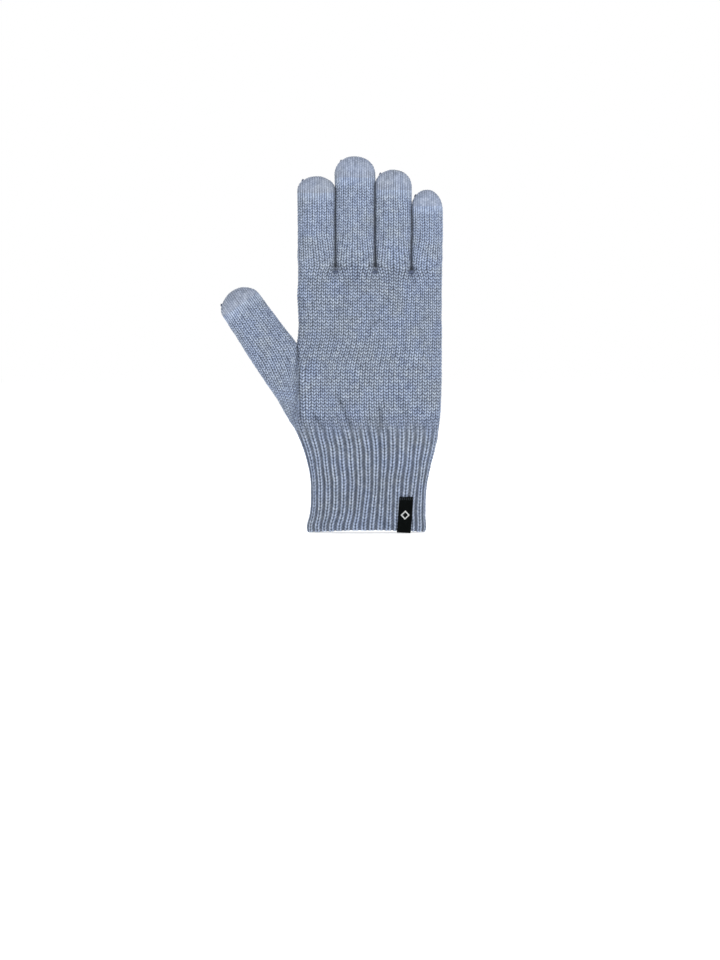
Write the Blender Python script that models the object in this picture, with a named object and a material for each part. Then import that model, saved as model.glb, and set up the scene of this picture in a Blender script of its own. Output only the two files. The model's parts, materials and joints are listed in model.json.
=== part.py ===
"""A knitted touchscreen glove for the right hand, standing fingers up on the edge of its ribbed cuff.

The glove is one closed knitted skin: a ribbed cuff, a hand tube, four finger sleeves and a thumb on a
gusset. It is modelled as hollow shells, one for each length of knitting between two folds, so that the
digits, the thumb's gusset and the wrist can bend. At each fold the two shells leave a V-shaped opening on
the side they bend towards, which closes as the fold reaches its limit. Each fingertip is a cap of
conductive yarn.

Axes: +Z runs from the wrist opening to the fingertips, +X points to the little finger, +Y is the palm side.
The shapes are worked out from the centre of the wrist opening, in the plane of the cuff's edge, in
millimetres and degrees. As each becomes an object it moves, so that the whole glove stands centred on the
origin.
"""

import math
from collections import namedtuple

import bmesh
import bpy
from mathutils import Matrix, Vector

MM = 0.001
UP = Vector((0, 0, 1))
PALMWARD = Vector((0, 1, 0))
# The point of the floor under the middle of the glove, thumb included, from the centre of the wrist opening.
GLOVE_MIDDLE = Vector((-23.5, 0, 0))

# Driving dimensions of the knitting.
WALL = 1.6  # stocking-stitch fabric
RIB_WALL = 2.2  # ribbed fabric is thicker
FOLD_GAP = 0.5  # between the two shells of a fold, on its axis
CLEAR = 0.35  # between a sewn-on piece and the knitting it lies on
BODY_POINTS = 40  # points round the hand and the cuff
DIGIT_POINTS = 20  # points round a digit
BODY_POWER = 2.6  # 2 is an ellipse; more is flatter in front and behind
DIGIT_POWER = 2.3

# How far each fold turns: towards the palm, and back past straight.
Turn = namedtuple("Turn", "palmward backward")
WRIST_TURN = Turn(45, 35)
FINGER_TURNS = (Turn(70, 15), Turn(75, 0), Turn(45, 0))
THUMB_TURNS = (Turn(55, 0), Turn(70, 0))
THUMB_FOLD_TURN = Turn(45, 0)

# Horizontal sections of the cuff and of the hand: height, left edge, right edge, half the depth.
Section = namedtuple("Section", "height left right half_depth")
WRIST_HEIGHT = 56.0
WRIST = Section(WRIST_HEIGHT, -42.2, 45.6, 11.8)
CUFF = (
    Section(0.0, -39.3, 39.3, 13.0),
    Section(12.0, -37.5, 39.3, 12.6),
    Section(30.0, -36.8, 40.0, 12.4),
    Section(44.0, -38.6, 42.4, 12.2),
    WRIST,
)
HAND = (
    WRIST,
    Section(67.0, -45.6, 47.6, 11.0),
    Section(85.0, -46.4, 49.2, 9.8),
    Section(123.0, -46.0, 49.5, 9.0),
    Section(155.0, -45.4, 49.6, 8.2),
    Section(171.0, -45.2, 49.7, 7.4),
)

# A digit is a sleeve along a straight axis from its root, where it leaves the hand.
# half and depth hold half its width and half its thickness at the root and at the tip.
Digit = namedtuple("Digit", "name root along length half depth dome folds turns")
FINGER_SIZES = (
    ("index", (-32.9, 0, 174.5), 59.0, (12.1, 12.1), (6.7, 6.2), 9.3, (7.5, 23.0, 36.7)),
    ("middle", (-7.5, 0, 174.5), 72.0, (12.5, 12.5), (6.9, 6.3), 10.5, (8.5, 28.0, 47.0)),
    ("ring", (17.6, 0, 174.0), 64.0, (11.3, 11.5), (6.7, 6.2), 10.0, (8.0, 25.5, 42.0)),
    ("little", (39.7, 0, 172.0), 52.7, (10.1, 10.0), (6.2, 5.7), 12.5, (6.8, 20.5, 33.0)),
)
FINGERS = tuple(
    Digit(name, Vector(root), UP, *sizes, FINGER_TURNS) for name, root, *sizes in FINGER_SIZES
)
THUMB_LEAN = math.radians(35)
THUMB_ALONG = Vector((-math.sin(THUMB_LEAN), 0, math.cos(THUMB_LEAN)))
THUMB_ROOT = Vector((-58.7, 0, 114.6))
THUMB = Digit(
    "thumb", THUMB_ROOT, THUMB_ALONG, 52.5, (15.5, 14.0), (7.5, 6.8), 11.0, (8.0, 30.0), THUMB_TURNS
)
THUMB_FOLD_X = -48.0  # the gusset's fold is an upright line beside the hand
# The thumb's gusset below its root: distance along the axis, inner edge, outer edge, half the depth.
GUSSET = (
    (-52.0, 7.0, -18.5, 7.0),
    (-25.0, 12.0, -16.2, 8.2),
    (0.0, 15.6, -15.6, 7.8),
)

# How the hollow inside the hand opens into the hollow inside a digit.
ROOT_TUCK = 1.2  # a finger's root narrows by this much on its way into the hand
STUB_REACH = 8.0  # how far the root runs on into the hand
HOLLOW_REACH = 12.0
HOLLOW_OVERRUN = 9.0  # how far a cutter runs past the end of what it hollows out

# The woven label over the cuff's edge.
LABEL_X = 24.6
LABEL_WIDTH = 9.2
LABEL_HEIGHT = 22.0
LABEL_THICK = 0.5
LABEL_LEAN = 0.07  # sideways shift for each unit of height
LABEL_INSIDE_HEIGHT = 8.0
LABEL_NOTCH = 1.3  # the knitting is squeezed up by this much under the label
MOTIF_SIZE = 6.2
MOTIF_SIDES = 4
MOTIF_THICK = 0.3
MOTIF_HEIGHT = 11.2
LABEL_TACK_DROP = 1.6  # below the label's upper end
LABEL_TACK_RADIUS = 0.22

TACK_HALF = 1.6
TACK_RADIUS = 0.7
TACK_DROP = 1.5  # below the line where the fingers part
TIP_KNOT_ANGLE = 42  # round the dome from its side
TIP_KNOT_HALF = 1.0
TIP_KNOT_RADIUS = 0.6

ELASTIC_HEIGHTS = (14.0, 25.0, 36.0, 46.0)
ELASTIC_RADIUS = 0.45

MATERIALS = {
    "knit": ((0.265, 0.315, 0.405), 0.95, 0.0),
    "rib": ((0.245, 0.29, 0.375), 0.95, 0.0),
    "touch_yarn": ((0.345, 0.40, 0.50), 0.85, 0.0),
    "closing_thread": ((0.12, 0.14, 0.18), 0.9, 0.0),
    "elastic": ((0.55, 0.56, 0.58), 0.7, 0.0),
    "label": ((0.006, 0.008, 0.009), 0.8, 0.0),
    "label_thread": ((0.75, 0.76, 0.76), 0.7, 0.0),
}


def clear_scene():
    for old in list(bpy.data.objects):
        bpy.data.objects.remove(old, do_unlink=True)


def material(name):
    """The Principled material of that name, made on first use."""
    if name in bpy.data.materials:
        return bpy.data.materials[name]
    colour, roughness, metallic = MATERIALS[name]
    made = bpy.data.materials.new(name)
    made.use_nodes = True
    shader = made.node_tree.nodes["Principled BSDF"]
    shader.inputs["Base Color"].default_value = (*colour, 1)
    shader.inputs["Roughness"].default_value = roughness
    shader.inputs["Metallic"].default_value = metallic
    return made


def as_object(name, bm, material_name, origin=None):
    """Turns a bmesh in millimetres into an object whose own origin is at the given point."""
    origin = origin or Vector((0, 0, 0))
    bmesh.ops.recalc_face_normals(bm, faces=bm.faces)
    bmesh.ops.transform(bm, matrix=Matrix.Scale(MM, 4) @ Matrix.Translation(-origin), verts=bm.verts)
    mesh = bpy.data.meshes.new(name)
    bm.to_mesh(mesh)
    bm.free()
    mesh.shade_smooth()
    mesh.set_sharp_from_angle(angle=math.radians(40))
    mesh.materials.append(material(material_name))
    made = bpy.data.objects.new(name, mesh)
    made.location = (origin - GLOVE_MIDDLE) * MM
    bpy.context.scene.collection.objects.link(made)
    return made


def oval(left, right, half_depth, power, count):
    """Points (across, depth) of a rounded oval between two edges. Two of them have no depth."""
    centre = (left + right) / 2
    half = (right - left) / 2
    points = []
    for i in range(count):
        c = math.cos(2 * math.pi * i / count)
        s = math.sin(2 * math.pi * i / count)
        across = centre + half * math.copysign(abs(c) ** (2 / power), c)
        depth = half_depth * math.copysign(abs(s) ** (2 / power), s)
        points.append((across, 0.0 if i % (count // 2) == 0 else depth))
    return points


def level(_depth):
    return 0.0


def fold_slope(turn, sign):
    """How far a shell's end stands off its fold at a given depth: half of the turn opens on each side."""
    palm = math.tan(math.radians(turn.palmward / 2))
    back = math.tan(math.radians(turn.backward / 2))

    def stand_off(depth):
        return sign * (FOLD_GAP / 2 + palm * max(depth, 0) + back * max(-depth, 0))

    return stand_off


def body_ring(section, inset, slope=level):
    """A ring of the cuff or the hand, as far inside the skin as inset says."""
    left, right = section.left + inset, section.right - inset
    flat = oval(left, right, section.half_depth - inset, BODY_POWER, BODY_POINTS)
    return [Vector((across, depth, section.height + slope(depth))) for across, depth in flat]


def across_of(along):
    """The direction across a digit, from its thumb side to its little-finger side."""
    return PALMWARD.cross(along)


def digit_ring(digit, distance, inset=0.0, slope=level):
    """A ring round a digit. Past the start of the dome, the ring shrinks towards the tip."""
    share = min(distance / (digit.length - digit.dome), 1.0)
    half = digit.half[0] + (digit.half[1] - digit.half[0]) * share - inset
    depth = digit.depth[0] + (digit.depth[1] - digit.depth[0]) * share - inset
    past = (distance - (digit.length - digit.dome)) / (digit.dome - inset)
    if past > 0:
        half *= math.sqrt(1 - past**2)
        depth *= math.sqrt(1 - past**2)
    return placed_ring(digit, distance, (-half, half, depth), slope)


def placed_ring(digit, distance, shape, slope=level):
    flat = oval(*shape, DIGIT_POWER, DIGIT_POINTS)
    across = across_of(digit.along)
    return [
        digit.root + across * a + PALMWARD * d + digit.along * (distance + slope(d)) for a, d in flat
    ]


def skin(bm, rings):
    """Quads between each ring and the next. Returns the rings' vertices."""
    made = [[bm.verts.new(point) for point in ring] for ring in rings]
    for lower, upper in zip(made, made[1:]):
        join(bm, lower, upper)
    return made


def join(bm, lower, upper):
    count = len(lower)
    for i in range(count):
        bm.faces.new((lower[i], lower[(i + 1) % count], upper[(i + 1) % count], upper[i]))


def cap(bm, ring):
    """Closes a ring with strips across it, which stay flat on a sloping end."""
    count = len(ring)
    half = count // 2
    for i in range(-count // 4, count // 4):
        corners = []
        for j in (i, i + 1, half - i - 1, half - i):
            if ring[j % count] not in corners:
                corners.append(ring[j % count])
        bm.faces.new(corners)


def close_to_point(bm, ring, point):
    tip = bm.verts.new(point)
    count = len(ring)
    for i in range(count):
        bm.faces.new((ring[i], ring[(i + 1) % count], tip))


def sleeve(name, outer, inner, material_name, origin=None):
    """A hollow shell with two open ends."""
    bm = bmesh.new()
    outside = skin(bm, outer)
    inside = skin(bm, inner)
    join(bm, outside[0], inside[0])
    join(bm, outside[-1], inside[-1])
    return as_object(name, bm, material_name, origin)


def solid(name, rings, material_name="knit"):
    """A closed solid through rings."""
    bm = bmesh.new()
    made = skin(bm, rings)
    cap(bm, made[0])
    cap(bm, made[-1])
    return as_object(name, bm, material_name)


def helper(made):
    made.hide_render = True
    made.display_type = "WIRE"
    return made


def boolean(target, operation, other):
    modifier = target.modifiers.new(operation.title() + "_" + other.name, "BOOLEAN")
    modifier.operation = operation
    modifier.solver = "EXACT"
    modifier.object = other


def digit_lengths(digit):
    """The sleeves between a digit's folds, and the cap of conductive yarn past the last one."""
    for i in range(len(digit.folds) - 1):
        near, far = digit.folds[i], digit.folds[i + 1]
        away = fold_slope(digit.turns[i], 1)
        towards = fold_slope(digit.turns[i + 1], -1)
        place = "base" if i == 0 else "middle"
        sleeve(
            f"{digit.name}_{place}_sleeve",
            [digit_ring(digit, near, 0, away), digit_ring(digit, far, 0, towards)],
            [digit_ring(digit, near, WALL, away), digit_ring(digit, far, WALL, towards)],
            "knit",
            digit.root + digit.along * near,
        )
    touch_tip(digit)


def touch_tip(digit):
    """The closed end of a digit: a domed thimble."""
    last = digit.folds[-1]
    away = fold_slope(digit.turns[-1], 1)
    dome_start = digit.length - digit.dome
    bm = bmesh.new()
    ends = []
    for inset in (0.0, WALL):
        rings = [digit_ring(digit, last, inset, away)]
        for angle in (0, 32, 56, 74):
            rise = (digit.dome - inset) * math.sin(math.radians(angle))
            rings.append(digit_ring(digit, dome_start + rise, inset))
        made = skin(bm, rings)
        close_to_point(bm, made[-1], digit.root + digit.along * (digit.length - inset))
        ends.append(made[0])
    join(bm, *ends)
    as_object(f"{digit.name}_touch_tip", bm, "touch_yarn", digit.root + digit.along * last)


def finger_stub(digit):
    """A solid root of a finger, from inside the hand to its first fold."""
    rings = [
        digit_ring(digit, -STUB_REACH, ROOT_TUCK),
        digit_ring(digit, 0),
        digit_ring(digit, digit.folds[0], 0, fold_slope(digit.turns[0], -1)),
    ]
    return helper(solid(f"{digit.name}_stub", rings))


def finger_hollow(digit):
    """The hollow in a finger's root, from the hollow of the hand to beyond its first fold."""
    rings = [
        digit_ring(digit, -HOLLOW_REACH, WALL + ROOT_TUCK),
        digit_ring(digit, 0, WALL),
        digit_ring(digit, digit.folds[0] + HOLLOW_OVERRUN, WALL),
    ]
    return helper(solid(f"{digit.name}_hollow", rings))


def gusset_solid(name):
    """The thumb's base, from inside the hand to the thumb's first fold."""
    rings = gusset_rings(0)
    rings.append(digit_ring(THUMB, THUMB.folds[0], 0, fold_slope(THUMB.turns[0], -1)))
    return solid(name, rings)


def gusset_rings(inset):
    rings = []
    for distance, inner, outer, depth in GUSSET:
        rings.append(placed_ring(THUMB, distance, (outer + inset, inner - inset, depth - inset)))
    return rings


def gusset_hollow():
    rings = gusset_rings(WALL)
    rings.append(digit_ring(THUMB, THUMB.folds[0] + HOLLOW_OVERRUN, WALL))
    return helper(solid("gusset_hollow", rings))


def fold_cutter(name, side):
    """Everything on one side of the gusset's fold, up to the opening that the fold needs."""
    slope = fold_slope(THUMB_FOLD_TURN, side)
    far_x = THUMB_FOLD_X - side * 120.0
    depth, bottom, top = 30.0, 30.0, 270.0
    edge = [(THUMB_FOLD_X + slope(y), y) for y in (-depth, 0.0, depth)]
    outline = edge + [(far_x, depth), (far_x, -depth)]
    bm = bmesh.new()
    face = bm.faces.new([bm.verts.new((x, y, bottom)) for x, y in outline])
    grown = bmesh.ops.extrude_face_region(bm, geom=[face])["geom"]
    moved = [v for v in grown if isinstance(v, bmesh.types.BMVert)]
    bmesh.ops.translate(bm, vec=(0, 0, top - bottom), verts=moved)
    return helper(as_object(name, bm, "knit"))


def hand_shell():
    """The knitted tube round the hand, with the roots of the fingers and of the thumb."""
    start = fold_slope(WRIST_TURN, 1)
    hand = solid("hand_shell", [body_ring(HAND[0], 0, start)] + [body_ring(s, 0) for s in HAND[1:]])
    inside = [HAND[0]._replace(height=WRIST_HEIGHT - HOLLOW_OVERRUN)] + list(HAND[:-1])
    inside.append(HAND[-1]._replace(height=HAND[-1].height - WALL))
    hollow = helper(solid("hand_hollow", [body_ring(s, WALL) for s in inside]))
    thumb_hollow = gusset_hollow()
    for finger in FINGERS:
        boolean(hand, "UNION", finger_stub(finger))
    boolean(hand, "UNION", helper(gusset_solid("gusset_outside")))
    boolean(hand, "DIFFERENCE", hollow)
    for finger in FINGERS:
        boolean(hand, "DIFFERENCE", finger_hollow(finger))
    boolean(hand, "DIFFERENCE", thumb_hollow)
    boolean(hand, "DIFFERENCE", fold_cutter("beyond_fold", 1))

    thumb_root = gusset_solid("thumb_gusset")
    boolean(thumb_root, "DIFFERENCE", thumb_hollow)
    boolean(thumb_root, "DIFFERENCE", fold_cutter("before_fold", -1))


def section_at(sections, height):
    """The section at a height between two of those given."""
    pairs = zip(sections, sections[1:])
    low, high = next((a, b) for a, b in pairs if a.height <= height <= b.height)
    share = (height - low.height) / (high.height - low.height)
    return Section(height, *(a + (b - a) * share for a, b in zip(low[1:], high[1:])))


def on_back(sections, across, height, stand_off):
    """The point on the back of the cuff or the hand at a place across it, moved straight out by stand_off."""
    _, left, right, half_depth = section_at(sections, height)
    place = (across - (left + right) / 2) / ((right - left) / 2)
    depth = half_depth * (1 - abs(place) ** BODY_POWER) ** (1 / BODY_POWER)
    return Vector((across, -depth - stand_off, height))


def cuff_shell():
    """The ribbed cuff, with a shallow notch in its edge under the label."""
    end = fold_slope(WRIST_TURN, -1)
    outer = [body_ring(s, 0) for s in CUFF[:-1]] + [body_ring(WRIST, 0, end)]
    inner = [body_ring(s, RIB_WALL) for s in CUFF[:-1]] + [body_ring(WRIST, RIB_WALL, end)]
    cuff = sleeve("ribbed_cuff", outer, inner, "rib")
    notch = bmesh.new()
    bmesh.ops.create_cube(notch, size=1)
    size = Vector((LABEL_WIDTH + 2 * CLEAR, CUFF[0].half_depth, 2 * LABEL_NOTCH))
    spot = Vector((LABEL_X, -CUFF[0].half_depth, 0))
    shape = Matrix.Translation(spot) @ Matrix.Diagonal((*size, 1))
    bmesh.ops.transform(notch, matrix=shape, verts=notch.verts)
    boolean(cuff, "DIFFERENCE", helper(as_object("label_notch", notch, "rib")))


def label():
    """A woven strip that comes down the back of the cuff, turns under its edge and goes up inside."""
    outer_near, outer_far = CLEAR, CLEAR + LABEL_THICK
    inner_near, inner_far = -RIB_WALL - CLEAR, -RIB_WALL - CLEAR - LABEL_THICK
    under = LABEL_NOTCH - CLEAR
    below = under - LABEL_THICK
    turn = LABEL_THICK * 0.6  # the bends under the edge are rounded off by this much
    outline = (
        (LABEL_HEIGHT, outer_near),
        (LABEL_HEIGHT / 2, outer_near),
        (under, outer_near),
        (under, inner_near),
        (LABEL_INSIDE_HEIGHT, inner_near),
        (LABEL_INSIDE_HEIGHT, inner_far),
        (under, inner_far),
        (below, inner_near - LABEL_THICK + turn),
        (below, outer_far - turn),
        (under, outer_far),
        (LABEL_HEIGHT / 2, outer_far),
        (LABEL_HEIGHT, outer_far),
    )
    steps = 6
    bm = bmesh.new()
    rows = []
    for i in range(steps + 1):
        share = i / steps - 0.5
        rows.append([bm.verts.new(label_point(share, *corner)) for corner in outline])
    for left, right in zip(rows, rows[1:]):
        join(bm, left, right)
    bm.faces.new(rows[0])
    bm.faces.new(rows[-1])
    as_object("woven_label", bm, "label")


def label_point(share, height, stand_off):
    """A point of the label: share runs from -0.5 at its left edge to 0.5 at its right edge."""
    across = LABEL_X + LABEL_LEAN * height + LABEL_WIDTH * share
    return on_back(CUFF, across, height, stand_off)


def label_motif():
    """A plain raised lozenge outline, standing for the label's woven mark."""
    bm = bmesh.new()
    face_off = LABEL_THICK + 2 * CLEAR
    rings = []
    for radius, rise in ((1.0, 0.0), (1.0, MOTIF_THICK), (0.6, MOTIF_THICK), (0.6, 0.0)):
        ring = []
        for i in range(MOTIF_SIDES):
            angle = 2 * math.pi * i / MOTIF_SIDES
            share = MOTIF_SIZE / 2 * radius * math.cos(angle) / LABEL_WIDTH
            height = MOTIF_HEIGHT + MOTIF_SIZE / 2 * radius * math.sin(angle)
            ring.append(bm.verts.new(label_point(share, height, face_off + rise)))
        rings.append(ring)
    for i in range(4):
        join(bm, rings[i], rings[(i + 1) % 4])
    as_object("label_motif", bm, "label_thread")


def thread_bar(name, points, radius, material_name):
    """A closed round bar through points, as a sewn tack."""
    bm = bmesh.new()
    sides, last = 8, len(points) - 1
    rings = []
    for i, point in enumerate(points):
        ahead = (points[min(i + 1, last)] - points[max(i - 1, 0)]).normalized()
        side = ahead.cross(PALMWARD).normalized()
        up = side.cross(ahead)
        thick = radius * (0.55 if i in (0, last) else 1.0)
        turns = [2 * math.pi * k / sides for k in range(sides)]
        rings.append([point + (side * math.cos(t) + up * math.sin(t)) * thick for t in turns])
    made = skin(bm, rings)
    close_to_point(bm, made[0], points[0])
    close_to_point(bm, made[-1], points[-1])
    as_object(name, bm, material_name, points[len(points) // 2])


def label_tack():
    """The row of stitches that holds the label's upper end."""
    height = LABEL_HEIGHT - LABEL_TACK_DROP
    off = LABEL_THICK + 2 * CLEAR + LABEL_TACK_RADIUS
    points = [label_point(share, height, off) for share in (-0.4, -0.2, 0, 0.2, 0.4)]
    thread_bar("label_tack", points, LABEL_TACK_RADIUS, "closing_thread")


def crotch_tacks():
    """The knots that close the knitting between two fingers, on the back of the hand."""
    for left, right in zip(FINGERS, FINGERS[1:]):
        across = (left.root.x + left.half[0] + right.root.x - right.half[0]) / 2
        height = HAND[-1].height - TACK_DROP
        ends = [
            (across - TACK_HALF, height - TACK_HALF / 2),
            (across, height),
            (across + TACK_HALF, height - TACK_HALF / 2),
        ]
        points = [on_back(HAND, *end, CLEAR + TACK_RADIUS) for end in ends]
        thread_bar(f"{left.name}_{right.name}_tack", points, TACK_RADIUS, "closing_thread")


def tip_knots():
    """Knots where the yarn's end is tied off, on the thumb side of each digit's dome."""
    angle = math.radians(TIP_KNOT_ANGLE)
    for digit in (*FINGERS, THUMB):
        across, half = across_of(digit.along), digit.half[1]
        dome_start = digit.root + digit.along * (digit.length - digit.dome)
        on_dome = digit.along * digit.dome * math.sin(angle) - across * half * math.cos(angle)
        outward = digit.along * math.sin(angle) / digit.dome - across * math.cos(angle) / half
        outward.normalize()
        reach = outward.cross(PALMWARD) * TIP_KNOT_HALF
        centre = dome_start + on_dome + outward * (CLEAR + TIP_KNOT_RADIUS + 0.1)
        points = [centre - reach, centre, centre + reach]
        thread_bar(f"{digit.name}_tip_knot", points, TIP_KNOT_RADIUS, "closing_thread")


def cuff_elastics():
    """Elastic threads laid round the inside of the rib."""
    sides = 6
    for number, height in enumerate(ELASTIC_HEIGHTS, 1):
        bm = bmesh.new()
        loops = []
        for k in range(sides):
            angle = 2 * math.pi * k / sides
            section = section_at(CUFF, height)._replace(height=height + ELASTIC_RADIUS * math.sin(angle))
            inset = RIB_WALL + CLEAR + ELASTIC_RADIUS * (1 - math.cos(angle))
            loops.append([bm.verts.new(point) for point in body_ring(section, inset)])
        for k in range(sides):
            join(bm, loops[k], loops[(k + 1) % sides])
        as_object(f"cuff_elastic_{number}", bm, "elastic")


def build():
    clear_scene()
    cuff_shell()
    cuff_elastics()
    hand_shell()
    for digit in (*FINGERS, THUMB):
        digit_lengths(digit)
    label()
    label_motif()
    label_tack()
    crotch_tacks()
    tip_knots()


build()
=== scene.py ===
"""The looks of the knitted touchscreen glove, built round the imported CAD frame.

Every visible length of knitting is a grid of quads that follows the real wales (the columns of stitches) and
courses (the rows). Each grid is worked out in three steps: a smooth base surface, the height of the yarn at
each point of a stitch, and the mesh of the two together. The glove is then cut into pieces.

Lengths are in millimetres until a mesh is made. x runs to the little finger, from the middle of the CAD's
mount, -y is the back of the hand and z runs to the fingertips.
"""

import json
import math
from types import SimpleNamespace

import bmesh
import bpy
import numpy as np
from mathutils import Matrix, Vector
from mathutils.bvhtree import BVHTree


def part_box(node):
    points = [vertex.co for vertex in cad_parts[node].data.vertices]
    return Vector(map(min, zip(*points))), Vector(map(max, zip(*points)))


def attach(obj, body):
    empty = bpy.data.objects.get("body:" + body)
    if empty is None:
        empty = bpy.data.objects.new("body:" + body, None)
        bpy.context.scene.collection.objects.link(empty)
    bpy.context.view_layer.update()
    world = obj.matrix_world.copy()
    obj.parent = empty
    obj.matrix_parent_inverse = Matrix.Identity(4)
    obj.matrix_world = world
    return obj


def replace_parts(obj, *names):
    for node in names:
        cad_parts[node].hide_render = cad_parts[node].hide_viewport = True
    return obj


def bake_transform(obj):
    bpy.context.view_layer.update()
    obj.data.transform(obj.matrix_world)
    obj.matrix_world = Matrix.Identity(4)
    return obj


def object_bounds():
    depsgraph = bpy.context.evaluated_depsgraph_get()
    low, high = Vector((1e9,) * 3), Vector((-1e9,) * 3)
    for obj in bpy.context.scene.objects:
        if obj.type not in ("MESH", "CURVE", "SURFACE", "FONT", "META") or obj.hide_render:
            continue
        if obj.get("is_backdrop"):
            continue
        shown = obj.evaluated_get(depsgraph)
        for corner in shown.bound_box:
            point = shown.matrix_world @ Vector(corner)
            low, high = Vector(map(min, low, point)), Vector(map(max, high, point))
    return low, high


MM = 0.001
BAKE_MAP = "OFBake"  # a chart that spreads a piece over the whole square

# Gauge of the knitting.
ACROSS = 8  # quads across a wale
ALONG = 6  # quads along a course
COURSE = 2.053  # the height of a course on the hand and the cuff
DIGIT_COURSE = 1.8
LEG_REACH = 0.72  # a course's height over a wale's width
YARN_RISE = 0.62  # how far a stitch stands out of the fabric
LEG_SKEW = 0.10  # the yarn's twist lifts a stitch's right leg and lowers its left leg, in courses
RIB_RISE = 1.0  # how far a rib stands out of the groove beside it
TOUCH_RISE = 0.42

# Wales on the back of the hand that run into each finger. The palm has as many again.
FRONT_WALES = {"index": 9, "middle": 9, "ring": 8, "little": 8}
HALF_WALES = sum(FRONT_WALES.values())
# Wales picked up at each side of a finger, where it parts from its neighbour.
SIDE_WALES = {"index": (0, 2), "middle": (2, 2), "ring": (2, 2), "little": (2, 0)}
GROWTH = 24.0  # the length over which those side wales reach their full width
THUMB_WALES = 12
# How long the conductive cap of each digit is, and how high its domed end.
TOUCH_LENGTH = {"index": 11.0, "middle": 14.0, "ring": 13.5, "little": 11.0, "thumb": 10.5}
DOME = {"index": 9.3, "middle": 10.5, "ring": 10.0, "little": 12.5, "thumb": 11.0}

BODY_POWER = 2.6  # 2 is an ellipse; more is flatter in front and behind
DIGIT_POWER = 2.5
TOUCHING_POWER = 3.2  # the sides of two neighbouring fingers press each other flat
# Whether a finger has a neighbour at its left and at its right.
TOUCHING = {"index": (False, True), "middle": (True, True), "ring": (True, True), "little": (True, False)}

# Sections of the cuff and the hand: height, left edge, right edge, half the depth.
BODY = (
    (0.0, -39.6, 39.4, 12.4),
    (4.5, -39.5, 39.5, 12.6),
    (10.0, -38.0, 39.1, 12.3),
    (17.0, -37.0, 39.1, 12.1),
    (26.0, -36.8, 39.5, 12.0),
    (36.0, -37.3, 40.8, 11.8),
    (46.0, -39.4, 43.0, 11.5),
    (56.0, -42.4, 45.7, 11.1),
    (62.5, -45.0, 47.0, 10.8),
    (73.0, -49.6, 48.3, 10.3),
    (88.0, -52.0, 49.2, 9.7),
    (108.0, -51.4, 49.4, 9.2),
    (124.0, -45.8, 49.4, 8.8),
    (155.0, -45.3, 49.5, 8.0),
    (175.0, -45.1, 49.6, 7.2),
)
CROTCH = 174.5  # the height where index and middle finger part
CROTCH_DIP = 2.5  # how much lower ring and little finger part
VALLEY = 13.0  # how far below the crotch the valleys between the fingers begin
SPREAD = 62.0  # how far below the crotch the wales begin to gather into fingers
RIB_FADE = (60.0, 76.0)  # where the rib's stitches give way to stocking stitch
RIDGE_FADE = (58.0, 86.0)  # where its ridges flatten out
CUFF_CUT = 76.0  # where the cuff's piece ends and the hand's begins
HEM_RADIUS = 1.3
HEM_ROLL = 3.2  # how far up the outside the hem's roll begins
HEM_DROOP, HEM_FADE = 1.6, 22.0  # the hem hangs lower at its sides, which ends at this height
CUFF_HALF = 39.0  # half the hem's width
INSIDE_HEIGHT = 30.0  # how far up the inside of the cuff is knitted

# The thumb below its root: distance along it, outer edge x and z, inner edge x and z, half the depth.
GUSSET = (
    (-46.0, -44.8, 64.0, -36.0, 67.0, 4.0),
    (-36.0, -50.6, 72.8, -39.0, 80.0, 6.0),
    (-24.0, -57.0, 84.0, -41.6, 96.0, 7.2),
    (-12.0, -64.2, 95.0, -43.0, 110.0, 7.8),
)
THUMB_ROOT = 8.0  # how far before its first fold the thumb's root lies
THUMB_HALVES = (15.5, 14.0)  # half its width at the root and below the dome
THUMB_LENGTH = 52.5
PULL = 3.2  # the thumb pulls the hand's wales beside it over by this much
PULL_REACH = 18.0
PULL_FOOT, PULL_TOP, PULL_FADE = 60.0, 126.0, 26.0
# How far a digit's yarn reaches past its solid at each side, and how far more where two fingers touch.
SIDE_EASE = {"index": 0.25, "middle": 0.5, "ring": 0.5, "little": 0.1, "thumb": 0.4}
TOUCH_BEAD = 0.25
CREASE_SOFTNESS = 2.4  # how near two surfaces run before they pull into each other
CREASE_DEPTH = 1.9
KNOT_TUCK, KNOT_LIFT = 2.4, 1.4  # how far in and up a tack is pulled from its CAD solid
OUTSIDE = -50.0  # stands for a depth inside other knitting where there is none
HIDDEN_DEPTH = 3.2  # knitting further than this inside other knitting is left out
# Short folds in the low part of the hand: x and height where each starts, how it leans, and its length.
LOW_FOLDS = ((-21.5, 95.0, 0.44, 32.0), (-36.5, 82.0, 0.5, 18.0), (8.5, 86.0, 0.06, 24.0))
# Where the fabric puffs out under the finger roots: x and height.
PUFFS = ((-20, 165), (6, 165), (30, 162))
# Where the tacks draw the fabric in: x, and how far above the crotch.
TACKS = ((-20.2, -0.6), (6.2, 0.4), (30.0, -0.6))

# Each finger's three bend zones, as distances along it from its foot.
FINGER_ZONES = {
    "index": ((1.5, 15), (16, 30), (31, 42)),
    "middle": ((1.5, 17), (20.5, 35.5), (39.5, 54.5)),
    "ring": ((1.5, 16), (18, 33), (38, 46)),
    "little": ((1.5, 13.6), (14, 27), (27.5, 38.5)),
}
# The same for the thumb past its root, and where its pieces end.
THUMB_ZONES = ((1.0, 15.0), (22.5, 37.5))
THUMB_CUTS = (0.5, 18.7, 37.5)
PALM_FOLD_TILT, PALM_FOLD_REACH = 20.0, 20.0  # the fold below the root, in degrees and millimetres

# The woven label over the cuff's edge.
LABEL_X, LABEL_LEAN, LABEL_WIDTH, LABEL_HEIGHT = 24.6, 0.07, 9.2, 23.2
LABEL_OFF, LABEL_THICK, LABEL_TUCK = 0.75, 0.45, 9.0
MOTIF_HEIGHT, MOTIF_SIZE = 11.2, 6.2
LABEL_STITCHES = 7

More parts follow.
